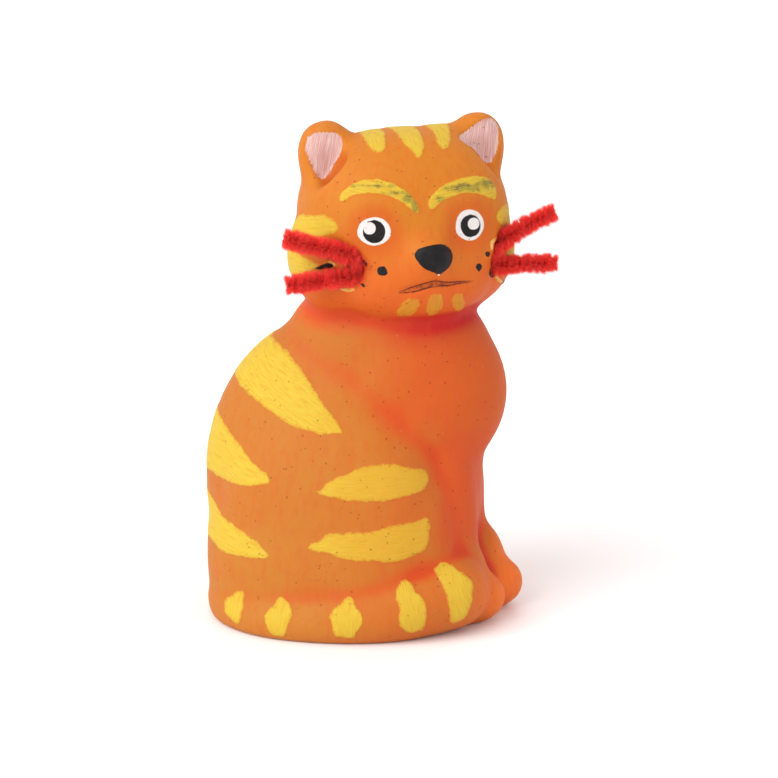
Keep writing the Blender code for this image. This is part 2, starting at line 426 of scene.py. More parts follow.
class Paint:
    """The distance to the nearest patch of one colour, and the place along and across its strokes."""

    def __init__(self, count):
        self.distance = np.full(count, FAR)
        self.stroke = np.zeros((count, 3))

    def add(self, points, outline, valid, scale=1.0, times=1):
        """A patch in some flat chart of the surface. Scale takes the chart's units to metres."""
        outline = rounded(outline, times=times)
        found = outline_distance(points, outline) * scale
        found[~valid] = FAR
        nearer = found < self.distance
        middle = outline.mean(0)
        _, _, axes = np.linalg.svd(outline - middle)
        place = (points - middle) @ axes.T * scale
        self.distance[nearer] = found[nearer]
        self.stroke[nearer, :2] = place[nearer]


def head_frame():
    place = Matrix.Translation(Vector(HEAD_CENTRE) * UNIT)
    place @= Matrix.Rotation(math.radians(HEAD_TURN), 4, "Z")
    place @= Matrix.Rotation(math.radians(HEAD_ROLL), 4, "Y")
    return np.array(place)


def painted(mesh):
    """Lays every patch of paint on the skin."""
    points, normals = points_of(mesh), normals_of(mesh)
    pixels = pixels_of(points)
    toward = np.array(EYE) - points
    toward /= np.linalg.norm(toward, axis=1)[:, None]
    facing = (normals * toward).sum(1)
    near = facing > 0.04
    surface = BVHTree.FromPolygons(points.tolist(), [tuple(face.vertices) for face in mesh.polygons])

    head = head_frame()
    local = (points - head[:3, 3]) @ head[:3, :3]
    on_head = points[:, 2] > 98 * MM
    front = near & on_head & (local[:, 1] < -4 * MM)
    low = points[:, 2] < 34 * MM

    def hit(pixel):
        """The skin's point behind a pixel.

        A pixel just off the outline moves towards the middle of the figure.
        """
        pixel = np.array(pixel, float)
        for _ in range(40):
            found = surface.ray_cast(EYE, ray_of(pixel))[0]
            if found is not None:
                return np.array(found)
            pixel += (np.array((365, 400)) - pixel) * 0.01
        raise ValueError(f"no skin behind {pixel}")

    count = len(points)
    yellow, brow, dab, pink, white, nose, dot = (Paint(count) for _ in range(7))

    # Haunches: the same stripes on both sides, in the side's own plane
    sideways = (np.abs(normals[:, 0]) > 0.25) & ~on_head & (points[:, 1] < 40 * MM)
    for outline in HAUNCH_STRIPES:
        flat = [hit(pixel)[1:] for pixel in outline]
        yellow.add(points[:, 1:], flat, sideways)

    # Back: from the spine down each side
    def round_body(places):
        middle = -14 * MM * np.clip((places[:, 2] - 60 * MM) / (40 * MM), 0, 1)
        angle = np.arctan2(np.abs(places[:, 0]), places[:, 1] - middle)
        return np.stack([angle * BODY_GIRTH, places[:, 2]], 1)

    chart = round_body(points)
    for outline in BACK_STRIPES:
        flat = round_body(np.array([hit(pixel) for pixel in outline]))
        spine = [(-4 * MM, flat[-1][1] + 2 * MM), (-4 * MM, flat[0][1] - 2 * MM)]
        yellow.add(chart, np.vstack([flat, spine]), ~on_head)

    # Tail: as seen on the near side, and two more rings where it leaves the rump
    for outline in TAIL_RINGS:
        yellow.add(pixels, outline, near & low, PIXEL)
    behind = low & (points[:, 1] > 30 * MM)
    for across in (-3, 15):
        ring = np.array([(-4, -1), (-4.5, 8), (0, 15), (4, 9), (4.5, -1)]) * MM
        yellow.add(points[:, [0, 2]], ring + (across * MM, 0), behind)

    # Head
    def round_head(places):
        angle = np.arctan2(np.abs(places[:, 0]), -places[:, 1])
        return np.stack([angle * HEAD_GIRTH, places[:, 2]], 1)

    def over_head(places):
        angle = np.arctan2(places[:, 2] - 2 * MM, -places[:, 1])
        return np.stack([places[:, 0], angle * HEAD_GIRTH], 1)

    def local_hits(outline):
        return (np.array([hit(pixel) for pixel in outline]) - head[:3, 3]) @ head[:3, :3]

    chart = round_head(local)
    for outline in CHEEK_STRIPES:
        flat = round_head(local_hits(outline))
        end = CHEEK_END * HEAD_GIRTH
        halfway = (flat[0][1] + flat[-1][1]) / 2
        back = [(end, flat[-1][1] + 2 * MM), (end + 3 * MM, halfway), (end, flat[0][1] - MM)]
        yellow.add(chart, np.vstack([flat, back]), on_head)
    chart = over_head(local)
    for outline in CROWN_STRIPES:
        flat = over_head(local_hits(outline))
        end = CROWN_END * HEAD_GIRTH
        back = [(flat[-1][0], end), ((flat[-1][0] + flat[0][0]) / 2, end + 5 * MM), (flat[0][0], end)]
        yellow.add(chart, np.vstack([flat, back]), on_head & (local[:, 2] > 10 * MM))

    for outline in (LEFT_BROW, RIGHT_BROW):
        brow.add(pixels, outline, front, PIXEL)
    for outline in CHIN_DABS:
        dab.add(pixels, outline, front, PIXEL)
    for outline in PINK_EARS:
        pink.add(pixels, outline, near & on_head, PIXEL)
    turns = np.linspace(0, 2 * math.pi, 24, endpoint=False)
    inner = np.array([(math.cos(turn), math.sin(turn)) for turn in turns])
    for middle in EAR_HOLLOWS:
        outline = (inner * EAR_HOLLOW_HALF + middle) * UNIT
        pink.add(local[:, [0, 2]], outline, on_head & (local[:, 1] < -1 * MM) & (facing < EDGE_ON))
    for outline in EYE_WHITES:
        white.add(pixels, outline, front, PIXEL, 2)
    nose.add(pixels, NOSE, front, PIXEL)
    beside = front | (near & on_head & (pixels[:, 1] > 240) & (pixels[:, 1] < 300))
    for outline in DOTS:
        dot.add(pixels, outline, beside, PIXEL)

    def keep(name, values):
        kind = "FLOAT_VECTOR" if values.ndim > 1 else "FLOAT"
        attribute = mesh.attributes.new(name, kind, "POINT")
        part = "vector" if values.ndim > 1 else "value"
        attribute.data.foreach_set(part, values.astype(np.float32).ravel())

    paints = {"yellow": yellow, "brow": brow, "dab": dab, "pink": pink, "white": white, "nose": nose,
              "dot": dot}
    for name, paint in paints.items():
        keep(name, paint.distance)
    stroke = yellow.stroke.copy()
    for paint in (brow, dab, pink):
        nearer = paint.distance < 2 * MM
        stroke[nearer] = paint.stroke[nearer]
    keep("stroke", stroke)

    torn = np.full(count, FAR)
    for line in TORN_RIMS:
        torn = np.minimum(torn, line_distance(pixels, line) * PIXEL - TORN_WIDTH / 2)
    torn[~beside] = FAR
    keep("torn", torn)

    # Round marks are drawn in the shader, from the face's own flat chart.
    flat = np.zeros((count, 3))
    flat[:, :2] = pixels
    flat[:, 2] = np.where(beside, 0, 1000)
    keep("face", flat)
    share = (pixels[:, 0] - MOUTH_TOP[0][0]) / (MOUTH_TOP[-1][0] - MOUTH_TOP[0][0])
    lips = []
    for line in (MOUTH_TOP, MOUTH_BOTTOM):
        line = rounded(line, closed=False)
        lips.append((pixels[:, 1] - np.interp(pixels[:, 0], line[:, 0], line[:, 1])) * PIXEL)
    lips = np.stack([np.clip(share, -0.2, 1.2), *lips], 1)
    lips[~front, 1:] = FAR
    keep("mouth", lips)
    return lips


# Relief


def smooth_noise(points, scale, seed):
    """Soft bumps from -1 to 1 about this far apart, as a sum of plane waves."""
    waves = np.random.default_rng(seed)
    total = np.zeros(len(points))
    for _ in range(14):
        way = waves.normal(size=3)
        way *= waves.uniform(0.6, 1.4) / np.linalg.norm(way) * 2 * math.pi / scale
        total += np.sin(points @ way + waves.uniform(0, 2 * math.pi))
    return total / 5


def hollows(mesh):
    """How deep each point lies in a broad hollow of the form, in metres. Below 0 on its swells."""
    points, normals = points_of(mesh), normals_of(mesh)
    ends = np.empty(len(mesh.edges) * 2, int)
    mesh.edges.foreach_get("vertices", ends)
    one, other = ends.reshape(-1, 2).T
    share = 1 / (np.bincount(one, minlength=len(points)) + np.bincount(other, minlength=len(points)))
    smooth = points.copy()
    for _ in range(HOLLOW_PASSES):
        for axis in range(3):
            values = smooth[:, axis]
            total = np.bincount(one, values[other], len(points))
            total += np.bincount(other, values[one], len(points))
            smooth[:, axis] = total * share
    return ((smooth - points) * normals).sum(1)


def relief(mesh, lips):
    """The mouth's groove, the edges of thick paint, and the skin's slight unevenness."""
    points, normals = points_of(mesh), normals_of(mesh)
    deep = hollows(mesh)
    attribute = mesh.attributes.new("hollow", "FLOAT", "POINT")
    attribute.data.foreach_set("value", (deep / MM).astype(np.float32))
    lift = 0.05 * MM * smooth_noise(points, 9 * MM, 3)
    lift += 0.03 * MM * smooth_noise(points, 3.5 * MM, 4)

    def of(name):
        found = np.empty(len(points))
        mesh.attributes[name].data.foreach_get("value", found)
        return found

    heights = {"yellow": 0.2, "brow": 0.25, "pink": -0.9, "white": 0.3, "nose": 0.35, "dab": 0.15,
               "torn": 0.4}
    for name, height in heights.items():
        lift += height * MM * np.clip(0.5 - of(name) / (1.2 * MM), 0, 1)
    share = lips[:, 0]
    across = np.abs(lips[:, 1] + lips[:, 2]) / 2
    ends = np.clip(np.minimum(share, 1 - share) * 6, 0, 1)
    lift -= 0.85 * MM * np.clip(1.25 - across / (1.4 * MM), 0, 1) * ends
    lift[points[:, 2] < 1 * MM] = 0
    mesh.vertices.foreach_set("co", (points + normals * lift[:, None]).ravel())
    mesh.update()


# Materials


# Places of the Mix node's colour sockets
COLOUR_A, COLOUR_B, COLOUR_RESULT = 6, 7, 2


class Shader:
    """A material under construction. Each method adds one node and returns its output."""

    def __init__(self, name):
        self.material = bpy.data.materials.new(name)
        self.material.use_nodes = True
        self.tree = self.material.node_tree
        self.surface = self.tree.nodes["Principled BSDF"]

    def put(self, value, socket):
        if isinstance(value, bpy.types.NodeSocket):
            self.tree.links.new(value, socket)
        else:
            socket.default_value = value

    def node(self, kind, **settings):
        node = self.tree.nodes.new(kind)
        for name, value in settings.items():
            setattr(node, name, value)
        return node

    def math(self, operation, first, second=0.0, clamp=False):
        node = self.node("ShaderNodeMath", operation=operation, use_clamp=clamp)
        self.put(first, node.inputs[0])
        self.put(second, node.inputs[1])
        return node.outputs[0]

    def vector(self, operation, first, second=(0, 0, 0)):
        node = self.node("ShaderNodeVectorMath", operation=operation)
        self.put(first, node.inputs[0])
        self.put(second, node.inputs[1])
        return node.outputs["Value" if operation == "LENGTH" else "Vector"]

    def ramp(self, value, low, high, bottom=0.0, top=1.0):
        """Value's rise from low to high, as a soft step from bottom to top."""
        node = self.node("ShaderNodeMapRange", interpolation_type="SMOOTHSTEP")
        names = ("Value", "From Min", "From Max", "To Min", "To Max")
        for name, given in zip(names, (value, low, high, bottom, top)):
            self.put(given, node.inputs[name])
        return node.outputs["Result"]

    def mix(self, share, first, second):
        node = self.node("ShaderNodeMix", data_type="RGBA")
        self.put(share, node.inputs["Factor"])
        self.put(first, node.inputs[COLOUR_A])
        self.put(second, node.inputs[COLOUR_B])
        return node.outputs[COLOUR_RESULT]

    def attribute(self, name, output="Fac"):
        node = self.node("ShaderNodeAttribute", attribute_name=name)
        return node.outputs[output]

    def place(self):
        return self.node("ShaderNodeTexCoord").outputs["Object"]

    def noise(self, where, scale, detail=2.0, rough=0.5):
        node = self.node("ShaderNodeTexNoise")
        self.put(where, node.inputs["Vector"])
        node.inputs["Scale"].default_value = scale
        node.inputs["Detail"].default_value = detail
        node.inputs["Roughness"].default_value = rough
        return node.outputs["Fac"]

    def cells(self, where, scale):
        node = self.node("ShaderNodeTexVoronoi")
        self.put(where, node.inputs["Vector"])
        node.inputs["Scale"].default_value = scale
        return node.outputs["Distance"], node.outputs["Color"]

    def bump(self, height, depth, strength=1.0, under=None):
        node = self.node("ShaderNodeBump")
        node.inputs["Strength"].default_value = strength
        node.inputs["Distance"].default_value = depth
        self.put(height, node.inputs["Height"])
        if under is not None:
            self.put(under, node.inputs["Normal"])
        return node.outputs["Normal"]


# Paints, as seen on screen
ORANGE = (177, 110, 36)
ORANGE_DEEP = (179, 104, 33)
ORANGE_HEAD = (188, 110, 26)
# Lighter orange on the chin and lower face: painted light
ORANGE_CHIN_LIT = (198, 88, 24)
# Red for painted shade in the hollows, over the chest and round the eyes, and for fine random mottle
RED_SHADE_AND_MOTTLE = (188, 68, 17)
# Painted shadow under the chin and in deep hollows
PAINTED_SHADOW_RED = (178, 28, 24)
# Lighter orange on the paws: painted light
ORANGE_PAW_LIT = (226, 108, 38)
# Painted shade in front of the haunch
ORANGE_FRONT_SHADE = (194, 58, 22)
ORANGE_PALE = (198, 122, 62)
YELLOW = (199, 170, 50)
YELLOW_THIN_AND_SHADE = (195, 142, 36)
YELLOW_RIM = (184, 112, 28)

# Where the colours change on the body, as the two ends of a soft step: heights above the floor,
# and places along y, less being further forward
NECK_FROM, NECK_TO = (0.082, 0.095), (0.11, 0.103)
HAUNCH_TOP, HAUNCH_EDGE, HAUNCH_BACK = (0.075, 0.06), (-0.033, -0.038), (0.004, -0.012)
FRONT_FOOT = (0.022, 0.034)
PAW_TOP, PAW_BACK = (0.04, 0.02), (-0.044, -0.056)
TAIL_TOP, STRIPES_TOP = (0.022, 0.03), (0.085, 0.07)


def srgb(red, green, blue):
    """A colour as seen on screen, 0 to 255, as linear values."""
    found = []
    for part in (red, green, blue):
        part /= 255
        found.append(part / 12.92 if part < 0.04045 else ((part + 0.055) / 1.055) ** 2.4)
    return (*found, 1)


def painted_foam():
    shade = Shader("painted_foam")
    where = shade.place()
    stroke = shade.attribute("stroke", "Vector")
    streaks = shade.noise(shade.vector("MULTIPLY", stroke, (160, 1900, 0)), 1.0, 3.0, 0.6)
    hairs = shade.noise(shade.vector("MULTIPLY", stroke, (70, 4200, 0)), 1.0, 2.0, 0.6)
    fray = shade.noise(where, 330, 4.0, 0.72)
    hollow = shade.attribute("hollow")
    spot = shade.node("ShaderNodeSeparateXYZ")
    shade.put(where, spot.inputs[0])

    def around(value, amount):
        return shade.math("MULTIPLY", shade.math("SUBTRACT", value, 0.5), amount)

    def ragged_distance(name, ragged, frayed):
        distance = shade.math("ADD", shade.attribute(name), around(streaks, ragged))
        return shade.math("ADD", distance, around(fray, frayed))

    def coverage(name, edge=0.2 * MM, ragged=0.9 * MM, frayed=2.2 * MM):
        return shade.ramp(ragged_distance(name, ragged, frayed), edge, -edge)

    # Orange ground, brushed on by hand, with painted shade: redder over the chest and in the hollows
    clouds = shade.noise(where, 45, 3.0, 0.55)
    chest_shade = shade.ramp(shade.math("ADD", spot.outputs[1], around(clouds, 0.03)), 0.012, -0.034)
    below = shade.ramp(spot.outputs[2], 0.112, 0.09)
    chest_shade = shade.math("MULTIPLY", chest_shade, shade.math("MULTIPLY", below, 0.75))
    chest_shade = shade.math("MULTIPLY", chest_shade, shade.ramp(spot.outputs[2], *reversed(HAUNCH_TOP), 0.5, 1.0))
    hollow_shade = shade.ramp(hollow, -0.1, 1.2)
    on_body = shade.ramp(spot.outputs[2], 0.116, 0.1)
    hollow_shade = shade.math("MULTIPLY", hollow_shade, shade.math("ADD", 0.45, shade.math("MULTIPLY", on_body, 0.55)))
    # Painted shade: the chest's and the hollows' share of red
    painted_shade = shade.math("ADD", chest_shade, hollow_shade, clamp=True)
    colour = shade.mix(shade.ramp(clouds, 0.35, 0.68), srgb(*ORANGE_DEEP), srgb(*ORANGE))
    high = shade.ramp(shade.math("ADD", spot.outputs[2], around(clouds, 0.02)), 0.108, 0.135)
    # Painted light: the chin and lower face lighter orange
    chin_light = shade.ramp(shade.math("ADD", spot.outputs[2], around(clouds, 0.02)), 0.096, 0.104)
    colour = shade.mix(chin_light, colour, srgb(*ORANGE_CHIN_LIT))
    colour = shade.mix(high, colour, srgb(*ORANGE_HEAD))
    # Painted shade in the eye sockets: redder round the eye whites
    socket_shade = shade.ramp(shade.attribute("white"), 7 * MM, 1 * MM, 0.0, 0.5)
    socket_shade = shade.math("MULTIPLY", socket_shade, shade.ramp(clouds, 0.3, 0.55))
    colour = shade.mix(socket_shade, colour, srgb(*RED_SHADE_AND_MOTTLE))
    colour = shade.mix(painted_shade, colour, srgb(*RED_SHADE_AND_MOTTLE))
    # Painted shadow: deep red under the chin and in the deep hollows, stronger towards the front
    forward = shade.ramp(spot.outputs[1], -0.012, -0.035, 0.3, 1.0)
    neck = shade.ramp(spot.outputs[2], *NECK_FROM)
    neck = shade.math("MULTIPLY", neck, shade.ramp(spot.outputs[2], *NECK_TO))
    deep = shade.math("ADD", hollow, shade.math("MULTIPLY", neck, 1.25))
    # Painted shade: redder in front of the haunch's edge, over the chest and front legs
    front = shade.ramp(spot.outputs[1], *HAUNCH_EDGE)
    front = shade.math("MULTIPLY", front, shade.ramp(spot.outputs[2], *HAUNCH_TOP))
    front = shade.math("MULTIPLY", front, shade.ramp(spot.outputs[2], *FRONT_FOOT))
    colour = shade.mix(shade.math("MULTIPLY", front, 0.6), colour, srgb(*ORANGE_FRONT_SHADE))
    # Painted light: lighter orange on the paws
    paw_light = shade.ramp(spot.outputs[1], *PAW_BACK)
    paw_light = shade.math("MULTIPLY", paw_light, shade.ramp(spot.outputs[2], *PAW_TOP))
    colour = shade.mix(shade.math("MULTIPLY", paw_light, 0.8), colour, srgb(*ORANGE_PAW_LIT))
    deep = shade.math("MULTIPLY", shade.ramp(deep, 0.3, 1.9), shade.math("MULTIPLY", forward, on_body))
    colour = shade.mix(deep, colour, srgb(*PAINTED_SHADOW_RED))
    fine = shade.noise(shade.vector("MULTIPLY", where, (500, 500, 160)), 1.0, 3.0, 0.6)
    colour = shade.mix(shade.ramp(fine, 0.42, 0.75, 0.0, 0.25), colour, srgb(*RED_SHADE_AND_MOTTLE))
    # Paler orange in patches on the swells, and pale specks
    paler_on_swells = shade.ramp(hollow, -0.5, -2.2, 0.0, 0.35)
    colour = shade.mix(shade.math("MULTIPLY", paler_on_swells, shade.ramp(fray, 0.35, 0.7)), colour, srgb(*ORANGE_PALE))
    specks = shade.noise(where, 620, 1.0, 0.5)
    colour = shade.mix(shade.ramp(specks, 0.77, 0.8, 0.0, 0.35), colour, srgb(*ORANGE_PALE))

    # Yellow strokes, thinner where the bristles left lines and where the paint ran out, and more orange as
    # painted shade over the chest, in the hollows and on the haunch's front
    thick = shade.mix(shade.ramp(streaks, 0.3, 0.6, 0.3, 1.0), srgb(*YELLOW_THIN_AND_SHADE), srgb(*YELLOW))
    thick = shade.mix(shade.ramp(hairs, 0.6, 0.8, 0.0, 0.25), thick, srgb(*YELLOW_THIN_AND_SHADE))
    above_tail = shade.ramp(spot.outputs[2], *TAIL_TOP)
    # Painted shade on the yellow: more orange where the ground is painted redder
    shaded_yellow = shade.math("MULTIPLY", painted_shade, shade.ramp(above_tail, 0.0, 1.0, 0.4, 0.95))
    thick = shade.mix(shaded_yellow, thick, srgb(*YELLOW_THIN_AND_SHADE))
    # Painted shade on the yellow: more orange over the front of the haunch, below the stripes' top
    low = shade.ramp(spot.outputs[1], *HAUNCH_BACK)
    low = shade.math("MULTIPLY", low, shade.ramp(spot.outputs[2], *STRIPES_TOP))
    low = shade.math("MULTIPLY", low, above_tail)
    thick = shade.mix(shade.math("MULTIPLY", low, 0.5), thick, srgb(*YELLOW_THIN_AND_SHADE))
    rim = shade.ramp(ragged_distance("yellow", 0.9 * MM, 2.2 * MM), -0.75 * MM, -0.1 * MM, 0.0, 0.45)
    thick = shade.mix(rim, thick, srgb(*YELLOW_RIM))
    dry = shade.noise(where, 1100, 2.0, 0.6)
    gaps = shade.ramp(dry, 0.6, 0.66)
    gaps = shade.math("MULTIPLY", gaps, shade.ramp(shade.attribute("yellow"), -1.8 * MM, -0.4 * MM, 0.0, 0.6))
    yellow_cover = shade.math("MULTIPLY", coverage("yellow"), shade.math("SUBTRACT", 1.0, gaps))
    colour = shade.mix(yellow_cover, colour, thick)

    face = shade.attribute("face", "Vector")

    def spots(marks, wobble, soft=0.45):
        """Coverage by round marks, in the face's flat chart."""
        best = None
        for middle, half in marks:
            offset = shade.vector("SUBTRACT", face, (*middle, 0))
            size = shade.vector("LENGTH", shade.vector("DIVIDE", offset, (*half, 1)))
            distance = shade.math("MULTIPLY", shade.math("SUBTRACT", size, 1.0), min(half))
            best = distance if best is None else shade.math("MINIMUM", best, distance)
        return shade.ramp(shade.math("ADD", best, around(fray, wobble)), soft, -soft)

    # Brows: yellow with olive drawn through it
    brow = shade.mix(shade.ramp(streaks, 0.3, 0.6), srgb(*YELLOW_THIN_AND_SHADE), srgb(*YELLOW))
    along = shade.attribute("brow")
    middle = shade.ramp(along, -0.7 * MM, -1.7 * MM)
    scuff = shade.math("MULTIPLY", shade.ramp(hairs, 0.46, 0.58), middle)
    scuff = shade.math("MULTIPLY", scuff, 0.2)
    streaky = shade.math("MULTIPLY", spots(SCUFFS, 9.0, 1.8), shade.ramp(hairs, 0.34, 0.56, 0.3, 1.0))
    scuff = shade.math("MAXIMUM", scuff, shade.math("MULTIPLY", streaky, 0.9))
    brow = shade.mix(scuff, brow, shade.mix(shade.ramp(fray, 0.4, 0.6), srgb(84, 86, 44), srgb(136, 128, 48)))
    colour = shade.mix(coverage("brow", ragged=1.4 * MM, frayed=1.4 * MM), colour, brow)

    # Chin dabs, half covering
    dab = shade.mix(shade.ramp(hairs, 0.35, 0.62), srgb(*YELLOW_RIM), srgb(*YELLOW_THIN_AND_SHADE))
    dab_cover = coverage("dab", ragged=2.2 * MM, frayed=1.6 * MM)
    colour = shade.mix(shade.math("MULTIPLY", dab_cover, 0.85), colour, dab)

    # Pink ears, brushed with white showing through
    pink = shade.mix(shade.ramp(hairs, 0.38, 0.62), srgb(182, 132, 126), srgb(208, 180, 174))
    pink = shade.mix(shade.ramp(streaks, 0.4, 0.65, 0.0, 0.5), pink, srgb(188, 136, 128))
    pale = shade.ramp(shade.attribute("pink"), -0.9 * MM, -0.3 * MM, 0.0, 0.5)
    pink = shade.mix(shade.math("MULTIPLY", pale, shade.ramp(fray, 0.42, 0.6)), pink, srgb(206, 190, 182))
    colour = shade.mix(coverage("pink", ragged=1.6 * MM, frayed=1.5 * MM), colour, pink)

    # Torn foam round the whiskers' holes
    torn = shade.mix(shade.ramp(fray, 0.35, 0.65), srgb(*YELLOW_THIN_AND_SHADE), srgb(226, 190, 120))
    colour = shade.mix(coverage("torn", 0.15 * MM, 0, 2.2 * MM), colour, torn)

    # Eyes, nose and dots
    white = shade.mix(shade.ramp(fray, 0.3, 0.8), srgb(206, 202, 198), srgb(216, 213, 210))
    white_cover = coverage("white", 0.12 * MM, 0, 0.5 * MM)
    colour = shade.mix(white_cover, colour, white)
    black = shade.mix(shade.ramp(fray, 0.4, 0.75), srgb(12, 10, 12), srgb(30, 26, 29))
    black_cover = shade.math("MAXIMUM", coverage("nose", 0.15 * MM, 0, 0.6 * MM), spots(IRISES, 1.6))
    black_cover = shade.math("MAXIMUM", black_cover, coverage("dot", 0.15 * MM, 0, 1.3 * MM))
    colour = shade.mix(black_cover, colour, black)
    colour = shade.mix(spots(GLINTS, 1.6), colour, white)

    # Mouth: two thin dark lines that meet at its corners, and a thin wash between them
    mouth = shade.node("ShaderNodeSeparateXYZ")
    shade.put(shade.attribute("mouth", "Vector"), mouth.inputs[0])
    share, above, under = mouth.outputs
    arch = shade.math("SUBTRACT", 1.0, share)
    arch = shade.math("MULTIPLY", arch, shade.math("MULTIPLY", share, 4.0), clamp=True)
    shaky = around(fray, 0.9 * MM)
    width = shade.math("MULTIPLY", shade.ramp(arch, 0.0, 0.7, 0.3, 1.0), 0.26 * MM)
    lines = None
    for edge in (above, under):
        thick = shade.math("ABSOLUTE", shade.math("ADD", edge, shaky))
        stroke_of = shade.ramp(shade.math("SUBTRACT", thick, width), 0.16 * MM, -0.16 * MM)
        lines = stroke_of if lines is None else shade.math("MAXIMUM", lines, stroke_of)
    inside = shade.math("MULTIPLY", shade.ramp(above, 0.0, 0.3 * MM), shade.ramp(under, 0.0, -0.3 * MM))
    inside = shade.math("MULTIPLY", inside, shade.ramp(fray, 0.38, 0.62, 0.1, 0.75))
    broken = shade.ramp(shade.noise(where, 420, 2.0, 0.6), 0.3, 0.5, 0.5, 1.0)
    lines = shade.math("MAXIMUM", shade.math("MULTIPLY", lines, broken), inside)
    lines = shade.math("MULTIPLY", lines, shade.ramp(arch, 0.0, 0.1))
    colour = shade.mix(lines, colour, srgb(92, 34, 22))

    # Pits between the beads of foam: painted shade in them, and a bump
    away, tint = shade.cells(where, 640)
    chosen = shade.node("ShaderNodeSeparateColor")
    shade.put(tint, chosen.inputs[0])
    size = shade.ramp(chosen.outputs[0], 0.62, 1.0, 0.0, 0.18)
    pit = shade.ramp(shade.math("SUBTRACT", away, size), 0.03, -0.03)
    colour = shade.mix(shade.math("MULTIPLY", pit, 0.5), colour, srgb(120, 50, 20))
    shade.put(colour, shade.surface.inputs["Base Color"])

    covered = shade.math("MAXIMUM", white_cover, black_cover)
    shade.put(shade.ramp(covered, 0.0, 1.0, 0.6, 0.5), shade.surface.inputs["Roughness"])
    shade.surface.inputs["Specular IOR Level"].default_value = 0.2

    beads, _ = shade.cells(where, 330)
    normal = shade.bump(beads, 0.25 * MM, 0.22)
    normal = shade.bump(fine, 0.12 * MM, 0.5, normal)
    paint_on = shade.math("MAXIMUM", yellow_cover, coverage("brow", ragged=1.4 * MM, frayed=1.4 * MM))
    ridges = shade.math("MULTIPLY", shade.ramp(hairs, 0.3, 0.7, 0.5, 1.0), paint_on)
    normal = shade.bump(ridges, 0.3 * MM, 0.4, normal)
    normal = shade.bump(shade.math("MULTIPLY", pit, -1.0), 0.3 * MM, 0.8, normal)
    shade.put(normal, shade.surface.inputs["Normal"])
    return shade.material


def chenille_material():
    shade = Shader("chenille")
    depth = shade.attribute("depth")
    tone = shade.attribute("tone")
    colour = shade.mix(shade.ramp(tone, 0.0, 1.0), srgb(250, 50, 48), srgb(255, 104, 92))
    # Painted shade deep in the pile: darker red towards the core
    colour = shade.mix(shade.ramp(depth, 0.75, 0.15), colour, srgb(200, 24, 28))
    shade.put(colour, shade.surface.inputs["Base Color"])
    shade.surface.inputs["Roughness"].default_value = 0.85
    shade.surface.inputs["Specular IOR Level"].default_value = 0.2
    shade.surface.inputs["Sheen Weight"].default_value = 0.25
    shade.surface.inputs["Sheen Roughness"].default_value = 0.5
    shade.surface.inputs["Sheen Tint"].default_value = srgb(240, 110, 100)
    return shade.material


# Chenille stems


def route_of(node):
    """The stem's centre line from one arm's tip round the fold to the other's.

    Also the way out of the head, square to the stem's plane.
    """
    arms = [(np.array(root), np.array(tip)) for root, tip in arms_of(node)]
    ways = [(tip - root) / np.linalg.norm(tip - root) for root, tip in arms]
    out = (ways[0] + ways[1]) / np.linalg.norm(ways[0] + ways[1])
    middle = (arms[0][0] + arms[1][0]) / 2
    half = (arms[0][0] - arms[1][0]) / 2
    across = half / np.linalg.norm(half)
    spread = math.asin(np.clip(ways[0] @ across, -1, 1))
    radius = np.linalg.norm(half) / math.cos(spread)
    centre = middle + out * radius * math.sin(spread)
    steps = 12
    route = [arms[0][1]]
    for step in range(steps + 1):
        angle = math.pi / 2 + spread + (math.pi - 2 * spread) * step / steps
        route.append(centre + out * radius * math.cos(angle) + across * radius * math.sin(angle))
    route.append(arms[1][1])
    upright = np.cross(out, across)
    if upright @ (centre - np.array(HEAD_CENTRE) * UNIT) < 0:
        upright = -upright
    return np.array(route), upright


